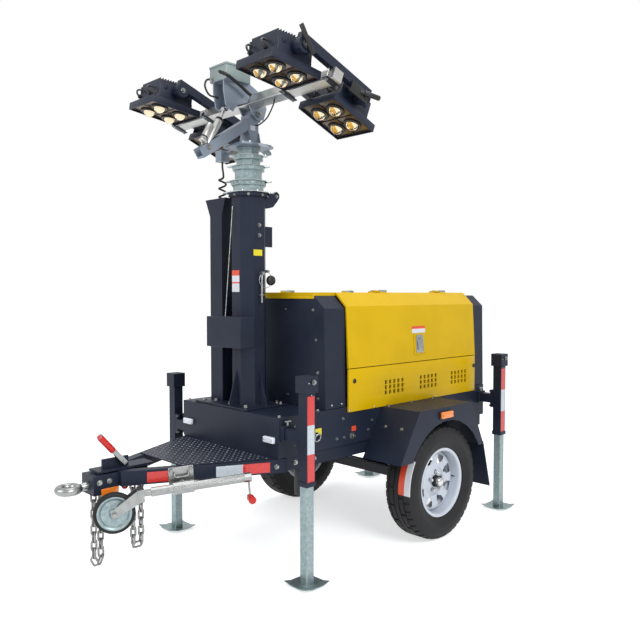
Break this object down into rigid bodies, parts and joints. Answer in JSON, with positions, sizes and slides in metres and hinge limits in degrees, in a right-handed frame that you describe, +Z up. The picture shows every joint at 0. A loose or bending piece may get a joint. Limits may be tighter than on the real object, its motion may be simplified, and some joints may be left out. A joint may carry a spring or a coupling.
{
  "type": "mobile light tower",
  "caption": "Towed light tower: generator canopy on a single-axle chassis, slide-out levelling legs and a vertical telescopic mast carrying tilting floodlights.",
  "frame": {"origin": "on the ground below the middle of the trailer's whole length, on its centre plane", "axes": "+Z up, the trailer is towed towards -X, its left side is -Y"},
  "size_m": [2.9574, 1.45, 2.7604],
  "materials": {
    "navy_paint": "satin",
    "yellow_paint": "gloss",
    "zinc": "galvanised",
    "rubber_tyre": "matt",
    "white_rim": "gloss",
    "grey_paint": "satin",
    "alloy": "satin",
    "black_paint": "satin",
    "lamp_black": "satin",
    "engine_grey": "matt",
    "cable_black": "matt",
    "lamp_white": "gloss"
  },
  "bodies": {
    "chassis": {"base_tub": "navy_paint", "chassis_frame": "navy_paint", "deck_plate": "navy_paint", "coupling": "navy_paint", "tow_eye": "zinc", "brake_lever": "zinc", "safety_chain_left": "zinc", "safety_chain_right": "zinc", "jockey_bracket": "zinc", "axle": "black_paint", "mudguard_left": "navy_paint", "mudguard_right": "navy_paint", "front_housing": "navy_paint", "rear_housing": "navy_paint", "roof_panel": "yellow_paint", "side_panel_left": "yellow_paint", "side_panel_right": "yellow_paint", "engine_block": "engine_grey", "mast_base": "navy_paint", "cable_column": "navy_paint", "winch_cover": "navy_paint", "front_marker_left": "lamp_white", "front_marker_right": "lamp_white"},
    "wheel_left": {"tyre_left": "rubber_tyre", "rim_left": "white_rim"},
    "wheel_right": {"tyre_right": "rubber_tyre", "rim_right": "white_rim"},
    "jockey_leg": {"jockey_leg": "zinc"},
    "jockey_fork": {"jockey_fork": "zinc"},
    "jockey_wheel": {"jockey_wheel": "rubber_tyre"},
    "door_left": {"door_left": "yellow_paint"},
    "door_right": {"door_right": "yellow_paint"},
    "outrigger_front_left": {"outrigger_front_left": "navy_paint"},
    "outrigger_front_right": {"outrigger_front_right": "navy_paint"},
    "outrigger_rear_left": {"outrigger_rear_left": "navy_paint"},
    "outrigger_rear_right": {"outrigger_rear_right": "navy_paint"},
    "foot_front_left": {"foot_front_left": "zinc"},
    "foot_front_right": {"foot_front_right": "zinc"},
    "foot_rear_left": {"foot_rear_left": "zinc"},
    "foot_rear_right": {"foot_rear_right": "zinc"},
    "mast_1": {"mast_section_1": "zinc"},
    "mast_2": {"mast_section_2": "zinc"},
    "mast_3": {"mast_section_3": "zinc"},
    "mast_4": {"mast_section_4": "zinc", "mast_head": "grey_paint", "coil_cable": "cable_black"},
    "head": {"head_bracket": "grey_paint", "crossbar": "alloy", "lamp_arm_left_outer": "lamp_black", "lamp_arm_left_inner": "lamp_black", "lamp_arm_right_inner": "lamp_black", "lamp_arm_right_outer": "lamp_black"},
    "lamp_front_left": {"lamp_front_left": "lamp_black"},
    "lamp_rear_left": {"lamp_rear_left": "lamp_black"},
    "lamp_front_right": {"lamp_front_right": "lamp_black"},
    "lamp_rear_right": {"lamp_rear_right": "lamp_black"},
    "actuator_barrel": {"actuator_barrel": "alloy"},
    "actuator_rod": {"actuator_rod": "zinc"}
  },
  "joints": [
    {"name": "wheel_left_spin", "type": "hinge", "parent": "chassis", "child": "wheel_left", "pos_m": [0.61125, -0.605, 0.345], "axis": [0, 1, 0], "continuous": true},
    {"name": "wheel_right_spin", "type": "hinge", "parent": "chassis", "child": "wheel_right", "pos_m": [0.61125, 0.605, 0.345], "axis": [0, 1, 0], "continuous": true},
    {"name": "jockey_swing", "type": "hinge", "parent": "chassis", "child": "jockey_leg", "pos_m": [-0.9626, -0.28, 0.548], "axis": [-0.4386, -0.8987, 0], "range_deg": [0, 86]},
    {"name": "jockey_screw", "type": "slide", "parent": "jockey_leg", "child": "jockey_fork", "axis": [-0.8967, 0.4376, -0.0663], "range_m": [0, 0.12]},
    {"name": "jockey_wheel_spin", "type": "hinge", "parent": "jockey_fork", "child": "jockey_wheel", "pos_m": [-1.2542, -0.1377, 0.4543], "axis": [-0.4386, -0.8987, 0], "continuous": true},
    {"name": "door_left_hinge", "type": "hinge", "parent": "chassis", "child": "door_left", "pos_m": [0.02825, -0.345, 1.5049], "axis": [-1, 0, 0], "range_deg": [0, 95]},
    {"name": "door_right_hinge", "type": "hinge", "parent": "chassis", "child": "door_right", "pos_m": [0.02825, 0.345, 1.5049], "axis": [1, 0, 0], "range_deg": [0, 95]},
    {"name": "outrigger_front_left_slide", "type": "slide", "parent": "chassis", "child": "outrigger_front_left", "axis": [0, -1, 0], "range_m": [0, 0.5]},
    {"name": "outrigger_front_right_slide", "type": "slide", "parent": "chassis", "child": "outrigger_front_right", "axis": [0, 1, 0], "range_m": [0, 0.5]},
    {"name": "outrigger_rear_left_slide", "type": "slide", "parent": "chassis", "child": "outrigger_rear_left", "axis": [0, -1, 0], "range_m": [0, 0.5]},
    {"name": "outrigger_rear_right_slide", "type": "slide", "parent": "chassis", "child": "outrigger_rear_right", "axis": [0, 1, 0], "range_m": [0, 0.5]},
    {"name": "foot_front_left_jack", "type": "slide", "parent": "outrigger_front_left", "child": "foot_front_left", "axis": [0, 0, 1], "range_m": [0, 0.42]},
    {"name": "foot_front_right_jack", "type": "slide", "parent": "outrigger_front_right", "child": "foot_front_right", "axis": [0, 0, 1], "range_m": [0, 0.34]},
    {"name": "foot_rear_left_jack", "type": "slide", "parent": "outrigger_rear_left", "child": "foot_rear_left", "axis": [0, 0, 1], "range_m": [0, 0.42]},
    {"name": "foot_rear_right_jack", "type": "slide", "parent": "outrigger_rear_right", "child": "foot_rear_right", "axis": [0, 0, 1], "range_m": [0, 0.34]},
    {"name": "mast_raise_1", "type": "slide", "parent": "chassis", "child": "mast_1", "axis": [0, 0, 1], "range_m": [0, 0.95], "deforming": ["coil_cable"]},
    {"name": "mast_raise_2", "type": "slide", "parent": "mast_1", "child": "mast_2", "axis": [0, 0, 1], "range_m": [0, 0.95]},
    {"name": "mast_raise_3", "type": "slide", "parent": "mast_2", "child": "mast_3", "axis": [0, 0, 1], "range_m": [0, 0.95]},
    {"name": "mast_raise_4", "type": "slide", "parent": "mast_3", "child": "mast_4", "axis": [0, 0, 1], "range_m": [0, 0.95]},
    {"name": "head_tilt", "type": "hinge", "parent": "mast_4", "child": "head", "pos_m": [-0.29575, 0, 2.508], "axis": [0, 1, 0], "range_deg": [-10, 30]},
    {"name": "actuator_swing", "type": "hinge", "parent": "mast_4", "child": "actuator_barrel", "pos_m": [-0.62475, 0, 2.279], "axis": [0, 1, 0], "range_deg": [-8, 3]},
    {"name": "actuator_stroke", "type": "slide", "parent": "actuator_barrel", "child": "actuator_rod", "axis": [0.4856, 0, 0.8742], "range_m": [-0.033, 0.097]},
    {"name": "lamp_front_left_tilt", "type": "hinge", "parent": "head", "child": "lamp_front_left", "pos_m": [-0.541, -0.52, 2.6729], "axis": [0, 1, 0], "range_deg": [-35, 35]},
    {"name": "lamp_rear_left_tilt", "type": "hinge", "parent": "head", "child": "lamp_rear_left", "pos_m": [-0.1093, -0.52, 2.514], "axis": [0, 1, 0], "range_deg": [-35, 35]},
    {"name": "lamp_front_right_tilt", "type": "hinge", "parent": "head", "child": "lamp_front_right", "pos_m": [-0.541, 0.52, 2.6729], "axis": [0, 1, 0], "range_deg": [-35, 35]},
    {"name": "lamp_rear_right_tilt", "type": "hinge", "parent": "head", "child": "lamp_rear_right", "pos_m": [-0.1093, 0.52, 2.514], "axis": [0, 1, 0], "range_deg": [-35, 35]}
  ],
  "couplings": [
    {"joint": "mast_raise_2", "follows": "mast_raise_1", "ratio": 1},
    {"joint": "mast_raise_3", "follows": "mast_raise_1", "ratio": 1},
    {"joint": "mast_raise_4", "follows": "mast_raise_1", "ratio": 1},
    {"joint": "actuator_swing", "follows": "head_tilt", "ratio": -0.18},
    {"joint": "actuator_stroke", "follows": "head_tilt", "m_per_rad": 0.18}
  ]
}
